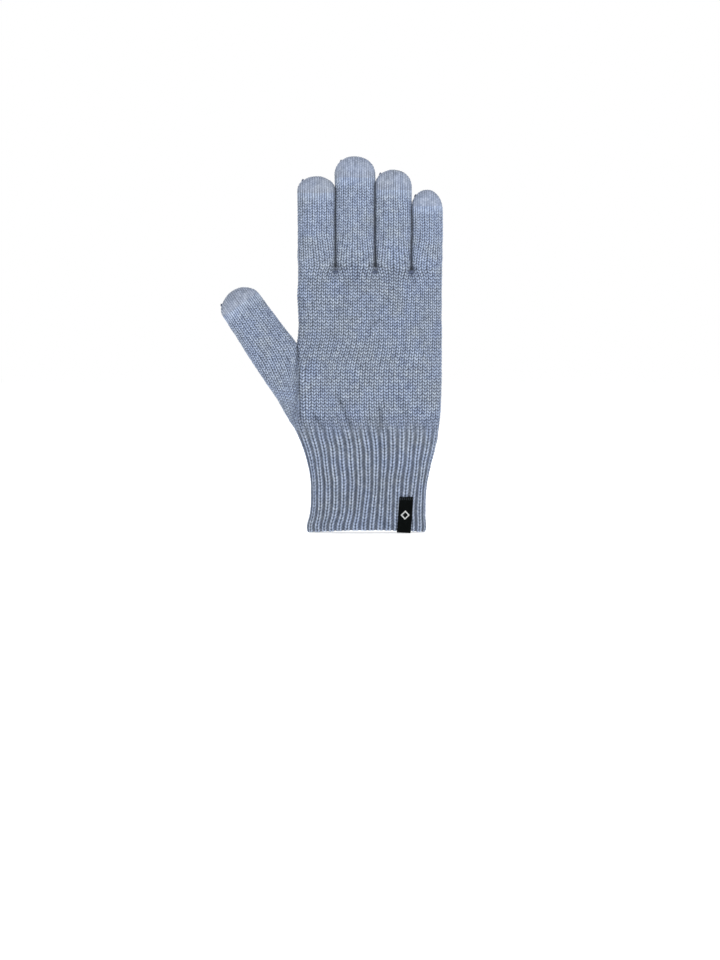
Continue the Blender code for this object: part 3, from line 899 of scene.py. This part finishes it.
def build_label(material):
    """The woven label: fine cords across it, a folded upper end, and rolled edges."""
    across = np.linspace(-0.5, 0.5, 93)
    way = np.linspace(LABEL_HEIGHT, -LABEL_TUCK - 5, 321)[:, None]
    edge = smooth((0.5 - np.abs(across)) / 0.05)
    end = smooth((LABEL_HEIGHT - way) / 0.7)
    cord = 0.05 * np.abs(np.sin(way * math.pi / 0.46))
    cord = cord + 0.025 * np.cos(across * 2 * math.pi * LABEL_WIDTH / 0.55)
    fold = 0.22 * smooth((way - LABEL_HEIGHT + 2.6) / 0.4)
    selvedge = 0.10 * smooth((np.abs(across) - 0.43) / 0.03)
    off = LABEL_OFF - LABEL_THICK * (1 - edge * end) + (cord + fold + selvedge) * edge * end
    points = label_point(across, way, off)[:, ::-1]
    faces = grid_faces(way.size, across.size, wrap=False)
    chart = np.stack(np.broadcast_arrays((across + 0.5)[::-1], (way - way.min()) / np.ptp(way)), axis=-1)
    maps = {BAKE_MAP: 0.002 + 0.996 * chart.reshape(-1, 2)}
    # Painted shade: the weave is darker between its cords.
    level = np.broadcast_to(cord / 0.075, way.shape[:1] + across.shape)
    return quad_mesh("label_weave", points.reshape(-1, 3), faces, material, level[:, ::-1], maps)


def build_motif(material):
    """A plain lozenge in satin stitch: threads laid side by side across its outline."""
    around, over = 241, 13
    t = np.linspace(0, 4, around)
    corners = np.array([(1, 0), (0, 1), (-1, 0), (0, -1), (1, 0)], float)
    path = np.stack([np.interp(t, range(5), corners[:, i]) for i in (0, 1)], axis=-1)
    side = np.linspace(0, 1, over)
    thread = np.abs(np.sin(t * math.pi * 13))[:, None]
    swell = np.sqrt(np.clip(1 - (2 * side - 1) ** 2, 0, 1))
    radius = mix(0.60, 1.0, side) + 0 * thread
    off = LABEL_OFF - 0.1 + swell * (0.30 + 0.10 * thread)
    spot = path[:, None] * radius[..., None] * MOTIF_SIZE / 2
    points = label_point(spot[..., 0] / LABEL_WIDTH, MOTIF_HEIGHT + spot[..., 1], off)
    faces = grid_faces(around, over, wrap=False)
    # Painted shade: the satin stitch is darker between its threads and towards both edges of its band.
    return quad_mesh("label_lozenge", points.reshape(-1, 3), faces, material, thread * swell)


def thread_rings(path, radius, twist=1.6):
    """The points of a two-ply thread along a path, and how far each stands out of the twist."""
    path = np.asarray(path, float)
    ahead = np.gradient(path, axis=0)
    ahead /= np.linalg.norm(ahead, axis=1, keepdims=True)
    length = np.concatenate([[0], np.cumsum(np.linalg.norm(np.diff(path, axis=0), axis=1))])
    side = np.cross(ahead, (0.31, 0.87, 0.38))
    side /= np.linalg.norm(side, axis=1, keepdims=True)
    other = np.cross(ahead, side)
    turn = np.linspace(0, 2 * math.pi, 17)[:-1]
    ply = np.abs(np.cos(turn + length[:, None] * twist / radius))
    ends = np.minimum(length, length[-1] - length) / radius
    taper = np.sqrt(np.clip(1 - (1 - np.clip(ends, 0, 1)) ** 2, 0.02, 1))[:, None]
    reach = radius * (0.80 + 0.25 * ply) * taper
    ring = side[:, None] * np.cos(turn)[:, None] + other[:, None] * np.sin(turn)[:, None]
    return path[:, None] + ring * reach[..., None], ply


def threads(name, paths, radius, material):
    """One piece made of several plied threads, all with as many points."""
    made = [thread_rings(path, radius) for path in paths]
    points, levels = (np.array(parts) for parts in zip(*made))
    faces = grid_faces(*points.shape[1:3])
    faces = np.concatenate([faces + i * levels[0].size for i in range(len(paths))])
    # Painted shade: each thread is darker where its plies twist in.
    return quad_mesh(name, points.reshape(-1, 3), faces, material, levels)


def coil(centre, along, out, half, radius, turns):
    """A path that winds round a short bar, as a tied-off end does."""
    side = np.cross(along, out)
    t = np.linspace(0, 1, 36 * turns)
    angle = 2 * math.pi * turns * t
    return (
        centre
        + along * ((2 * t - 1) * half)[:, None]
        + (out * np.cos(angle)[:, None] + side * np.sin(angle)[:, None]) * radius
    )


# ---------------- materials


def set_inputs(node, values):
    for name, value in values.items():
        node.inputs[name].default_value = value


def math_node(tree, operation, *values):
    made = tree.nodes.new("ShaderNodeMath")
    made.operation = operation
    for slot, value in zip(made.inputs, values):
        if isinstance(value, (int, float)):
            slot.default_value = value
        else:
            tree.links.new(value, slot)
    return made.outputs[0]


def vector_node(tree, operation, vector, other=None):
    made = tree.nodes.new("ShaderNodeVectorMath")
    made.operation = operation
    tree.links.new(vector, made.inputs[0])
    if other is not None:
        made.inputs[1].default_value = other
    return made.outputs["Vector"]


def colour_ramp(tree, amount, stops):
    ramp = tree.nodes.new("ShaderNodeValToRGB")
    ramp.color_ramp.elements[0].position, ramp.color_ramp.elements[1].position = stops[0][0], stops[-1][0]
    for position, _ in stops[1:-1]:
        ramp.color_ramp.elements.new(position)
    for element, (_, colour) in zip(ramp.color_ramp.elements, stops):
        element.color = (*colour, 1)
    tree.links.new(amount, ramp.inputs["Fac"])
    return ramp.outputs["Color"]


def multiplied(tree, a, b):
    both = tree.nodes.new("ShaderNodeMix")
    both.data_type, both.blend_type = "RGBA", "MULTIPLY"
    both.inputs["Factor"].default_value = 1.0
    colours = [slot for slot in both.inputs if slot.type == "RGBA"]
    tree.links.new(a, colours[0])
    tree.links.new(b, colours[1])
    return next(slot for slot in both.outputs if slot.type == "RGBA")


def linear(colour):
    """A colour given as 8-bit sRGB values, as linear light."""
    return tuple((c / 255 / 12.92) if c < 11 else ((c / 255 + 0.055) / 1.055) ** 2.4 for c in colour)


def noise(tree, vector, scale, detail=2.0, roughness=0.5):
    made = tree.nodes.new("ShaderNodeTexNoise")
    set_inputs(made, {"Scale": scale, "Detail": detail, "Roughness": roughness})
    tree.links.new(vector, made.inputs["Vector"])
    return made.outputs["Fac"]


def yarn(name, dark, middle, light, groove_shade, mottle=1.0, roughness=0.92, sheen=0.15, gloss=0.18):
    """Melange yarn: fibres of three shades blended in patches, with painted shade darker down between the
    stitches.
    """
    made = bpy.data.materials.new(name)
    made.use_nodes = True
    tree = made.node_tree
    shader = tree.nodes["Principled BSDF"]
    place = tree.nodes.new("ShaderNodeTexCoord").outputs["Object"]
    stitches = tree.nodes.new("ShaderNodeUVMap")
    stitches.uv_map = "Stitch"
    stitch = stitches.outputs["UV"]
    each = tree.nodes.new("ShaderNodeTexWhiteNoise")
    each.noise_dimensions = "2D"
    leg = vector_node(tree, "MULTIPLY", stitch, (2.0, 1.0, 1.0))
    tree.links.new(vector_node(tree, "FLOOR", leg), each.inputs["Vector"])
    patches = noise(tree, place, 330.0, 3.0, 0.62)
    fibres = noise(tree, place, 2600.0, 3.0, 0.65)
    strands = noise(tree, vector_node(tree, "MULTIPLY", stitch, (17.0, 3.6, 1.0)), 1.0, 3.0, 0.6)
    amount = math_node(tree, "MULTIPLY_ADD", patches, 0.9 * mottle, 0.5 - 0.45 * mottle)
    for source, share in ((fibres, 0.8), (strands, 0.8), (each.outputs["Value"], 0.34)):
        part = math_node(tree, "MULTIPLY_ADD", source, share * mottle, -share * mottle / 2)
        amount = math_node(tree, "ADD", amount, part)
    colour = colour_ramp(tree, amount, ((0.1, linear(dark)), (0.5, linear(middle)), (0.9, linear(light))))

    tints = ((0.35, (1.0, 0.99, 0.955)), (0.65, (0.955, 0.98, 1.04)))
    colour = multiplied(tree, colour, colour_ramp(tree, noise(tree, place, 75.0, 2.0), tints))
    # Painted shade: the colour is multiplied darker where the stored level is low, down between the stitches, to
    # the groove's share at the lowest.
    height = tree.nodes.new("ShaderNodeAttribute")
    height.attribute_name = "painted_shade_level"
    greys = ((0.0, groove_shade), (0.4, mix(groove_shade, 1, 0.45)), (0.8, 1.0))
    shade = colour_ramp(tree, height.outputs["Fac"], [(level, (grey,) * 3) for level, grey in greys])
    tree.links.new(multiplied(tree, colour, shade), shader.inputs["Base Color"])

    relief = math_node(tree, "MULTIPLY", fibres, 0.5)
    relief = math_node(tree, "ADD", relief, math_node(tree, "MULTIPLY", strands, 0.8))
    bump = tree.nodes.new("ShaderNodeBump")
    set_inputs(bump, {"Strength": 0.55, "Distance": 0.00022})
    tree.links.new(relief, bump.inputs["Height"])
    tree.links.new(bump.outputs["Normal"], shader.inputs["Normal"])
    set_inputs(shader, {"Roughness": roughness, "Specular IOR Level": gloss, "Sheen Weight": sheen})
    set_inputs(shader, {"Sheen Roughness": 0.5, "Sheen Tint": (0.82, 0.88, 1.0, 1.0)})
    return made


def make_yarns():
    """A material for each yarn, from its dark, middle and light shade."""
    blue = ((129, 140, 164), (161, 174, 197), (191, 203, 221))
    rib = ((121, 133, 155), (153, 165, 187), (183, 194, 212))
    pale = ((121, 131, 149), (151, 160, 178), (178, 187, 203))
    # The closing yarn is partly its own dark navy and partly painted shade: it is darkened for the puckered fabric
    # round the tacks, and the knots on the tips share it.
    navy_and_shade = ((58, 66, 88), (84, 94, 117), (112, 122, 145))
    black = ((3, 5, 6), (6, 9, 9), (12, 16, 16))
    white = ((168, 170, 170), (205, 207, 206), (232, 233, 231))
    charcoal = ((22, 26, 28), (34, 39, 42), (52, 58, 62))
    grey = ((150, 152, 155), (180, 182, 185), (205, 207, 210))
    return SimpleNamespace(
        knit=yarn("knit_yarn", *blue, groove_shade=0.16),
        rib=yarn("rib_yarn", *rib, groove_shade=0.16),
        touch=yarn("conductive_yarn", *pale, groove_shade=0.30, mottle=0.9, roughness=0.8),
        knot=yarn("closing_yarn_and_painted_shade", *navy_and_shade, groove_shade=0.3),
        label=yarn("label_weave", *black, groove_shade=0.5, mottle=0.7, roughness=0.9, sheen=0.0, gloss=0.05),
        mark=yarn("label_thread", *white, groove_shade=0.55, mottle=0.6, roughness=0.6),
        stitch=yarn("label_stitching", *charcoal, groove_shade=0.5, mottle=0.7, roughness=0.7),
        elastic=yarn("elastic_thread", *grey, groove_shade=0.9),
    )


# ---------------- the glove


def dress(made, node, body):
    """Puts a made piece in place of a CAD node, on a body."""
    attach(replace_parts(made, node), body)


def row_at(cloth, digit, distance):
    """The row of a digit's cloth that is nearest to a distance along it from its root."""
    along = (cloth.grid.mean(axis=1) - cloth.start) @ digit.along
    return int(np.argmin(np.abs(along - distance)))


def build_glove(yarns):
    digits, thumb = digits_from_cad()
    thumb_base, thumb_wale, thumb_course, distances = thumb_grid(thumb)
    thumb_base = with_relief(thumb_base)
    body_base = with_relief(body_grid(digits)[0])
    low = thumb_base[: np.count_nonzero(distances < 14)]
    shaped, hidden = pull_together(low, body_base, np.ones(low.shape[:2], bool))
    body = body_cloth(digits, thumb_base)
    thumb_base[: len(shaped)] = shaped

    cuff = piece("cuff_knit", body, (0, body.cut), yarns.rib, ["ribbed_cuff"])
    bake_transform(cuff)
    last = len(body.points) - 1
    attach(piece("hand_knit", body, (body.cut, last), yarns.knit, ["hand_shell"]), "hand")

    for digit in digits.values():
        build_finger(digit, finger_cloth(digit, body), yarns)
    build_thumb(thumb, thumb_cloth(thumb, thumb_base, thumb_wale, thumb_course, hidden), yarns)
    build_trim(digits, thumb, yarns)


def build_finger(digit, cloth, yarns):
    name, zones = digit.name, FINGER_ZONES[digit.name]
    cuts = [(zones[0][1] + zones[1][0]) / 2, (zones[1][1] + zones[2][0]) / 2, zones[2][1]]
    nodes = ([f"{name}_base_sleeve"], [f"{name}_middle_sleeve"], [])
    build_digit(digit, cloth, cuts, ("root", "middle", "end"), nodes, yarns)


def build_thumb(thumb, cloth, yarns):
    tilt = math.radians(PALM_FOLD_TILT)
    across = np.array((-math.cos(tilt), 0, math.sin(tilt))) * PALM_FOLD_REACH
    crotch = thumb.root + thumb.across * thumb.root_half
    nodes = (["thumb_gusset"], ["thumb_base_sleeve"], [])
    bends = [[thumb.root + thumb.along * distance for distance in zone] for zone in THUMB_ZONES]
    bends.insert(0, (crotch - across, crotch))
    build_digit(thumb, cloth, THUMB_CUTS, ("gusset", "base", "end"), nodes, yarns)


def build_digit(digit, cloth, cuts, lengths, nodes, yarns):
    """A digit's lengths, and then its tip.

    cuts says where each length ends.
    """
    rows = [0] + [row_at(cloth, digit, cut) for cut in cuts]
    for i, length in enumerate(lengths):
        made = piece(f"{digit.name}_{length}_knit", cloth, rows[i : i + 2], yarns.knit, nodes[i])
        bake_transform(made)
    build_tip(digit, cloth, rows[-1], yarns)


def build_tip(digit, cloth, low, yarns):
    """What lies past a digit's last fold: the end of its sleeve, then the cap of conductive yarn."""
    along = cloth.grid.mean(axis=1) @ digit.along
    edge = int(np.argmin(np.abs(along - along[-1] + TOUCH_LENGTH[digit.name])))
    rows = (edge, len(cloth.points) - 1)
    node = f"{digit.name}_touch_tip"
    sleeve = piece(f"{digit.name}_tip_knit", cloth, (low, edge), yarns.knit, [])
    cap = piece(f"{digit.name}_touch_knit", cloth, rows, yarns.touch, [node])
    for made in (sleeve, cap):
        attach(made, f"{digit.name}_tip")


def build_trim(digits, thumb, yarns):
    """The label, its mark and stitches, the tacks between the fingers and the knots on the tips."""
    dress(build_label(yarns.label), "woven_label", "cuff")
    dress(build_motif(yarns.mark), "label_motif", "cuff")
    paths = []
    for share in np.linspace(-0.42, 0.42, LABEL_STITCHES):
        along = np.linspace(-1, 1, 14)
        bow = 0.42 - 0.75 * along**4
        paths.append(label_point(share + 0.012 * along, LABEL_HEIGHT - 1.3 + 0.9 * along, LABEL_OFF + bow))
    stitches = threads("label_stitches", paths, LABEL_THREAD, yarns.stitch)
    dress(stitches, "label_tack", "cuff")

    names = list(digits)
    for a, b in zip(names, names[1:]):
        middle = node_middle(f"{a}_{b}_tack") + (0, KNOT_TUCK, KNOT_LIFT)
        path = coil(middle, np.array((1.0, 0, 0)), np.array((0, -1.0, 0)), *TACK_COIL)
        knot = threads(f"{a}_{b}_knot", [path], TACK_THREAD, yarns.knot)
        dress(knot, f"{a}_{b}_tack", "hand")
    for digit in (*digits.values(), thumb):
        out = digit.along * 0.55 - digit.across * 0.83
        along = np.cross(out, (0, 1, 0))
        along /= np.linalg.norm(along)
        path = coil(node_middle(f"{digit.name}_tip_knot") - out * 0.85, along, out, *KNOT_COIL)
        knot = threads(f"{digit.name}_end_knot", [path], KNOT_THREAD, yarns.knot)
        dress(knot, f"{digit.name}_tip_knot", f"{digit.name}_tip")
    for i in range(1, 5):
        elastic = frame["nodes"][f"cuff_elastic_{i}"]
        elastic.data.materials.clear()
        elastic.data.materials.append(yarns.elastic)


def node_middle(name):
    low, high = map(from_frame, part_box(name))
    return (low + high) / 2


# ---------------- the floor, the light and the camera


def build_stage(lowest):
    white = (1, 1, 1, 1)
    floor = bpy.data.meshes.new("floor")
    corners = [(x * FLOOR_HALF, y * FLOOR_HALF, 0) for x, y in ((-1, -1), (1, -1), (1, 1), (-1, 1))]
    floor.from_pydata(corners, [], [(0, 1, 2, 3)])
    paint = bpy.data.materials.new("pale_floor")
    paint.use_nodes = True
    shader = paint.node_tree.nodes["Principled BSDF"]
    set_inputs(shader, {"Base Color": (0.90, 0.90, 0.90, 1), "Roughness": 0.8})
    set_inputs(shader, {"Emission Color": white, "Emission Strength": 0.70})
    floor.materials.append(paint)
    add_object("floor", floor, (0, 0, lowest - 0.0001))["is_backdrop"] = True

    world = bpy.data.worlds.new("studio")
    world.use_nodes = True
    tree = world.node_tree
    background = tree.nodes["Background"]
    set_inputs(background, {"Color": white})
    # The backdrop is white to look at, and lights the glove more softly than that.
    seen = tree.nodes.new("ShaderNodeLightPath").outputs["Is Camera Ray"]
    strength = math_node(tree, "MULTIPLY_ADD", seen, 1.0 - WORLD_LIGHT, WORLD_LIGHT)
    tree.links.new(strength, background.inputs["Strength"])
    bpy.context.scene.world = world
    lamps = (
        ("key", (0.5, -1.2, 1.0), 0.45, 14.5),
        ("fill", (-0.9, -1.3, 0.4), 0.9, 2.5),
        ("back", (-0.5, 1.1, 0.9), 0.6, 12.0),
    )
    for name, place, size, power in lamps:
        lamp = bpy.data.lights.new(name, "AREA")
        lamp.shape, lamp.size, lamp.energy = "DISK", size, power
        made = add_object(name, lamp, place)
        made.rotation_euler = (Vector((0, 0, 0.12)) - Vector(place)).to_track_quat("-Z", "Y").to_euler()


def build_camera():
    camera = bpy.data.cameras.new("camera")
    camera.sensor_fit = "VERTICAL"
    camera.sensor_height = SENSOR
    camera.lens = SENSOR * VIEW_DISTANCE / VIEW_HEIGHT
    back = Vector((0, -math.cos(VIEW_LIFT), math.sin(VIEW_LIFT)))
    made = add_object("camera", camera, Vector(to_frame(VIEW_AIM)) + back * VIEW_DISTANCE)
    made.rotation_euler = (math.radians(90) - VIEW_LIFT, 0, 0)
    bpy.context.scene.camera = made


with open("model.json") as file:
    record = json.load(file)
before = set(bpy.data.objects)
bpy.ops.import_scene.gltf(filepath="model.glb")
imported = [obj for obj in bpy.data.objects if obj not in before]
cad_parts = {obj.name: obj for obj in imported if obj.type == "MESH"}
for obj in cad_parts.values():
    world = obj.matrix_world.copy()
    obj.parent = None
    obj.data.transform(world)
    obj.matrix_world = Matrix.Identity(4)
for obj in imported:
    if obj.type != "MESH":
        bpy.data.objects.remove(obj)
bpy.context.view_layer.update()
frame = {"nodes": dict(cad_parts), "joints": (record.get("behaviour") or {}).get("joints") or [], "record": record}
SHIFT = np.array((frame["record"]["mounts"][0]["pos_m"][0], 0, 0))
build_glove(make_yarns())
build_stage(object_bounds()[0][2])
build_camera()
bpy.context.scene.view_settings.view_transform = "Standard"
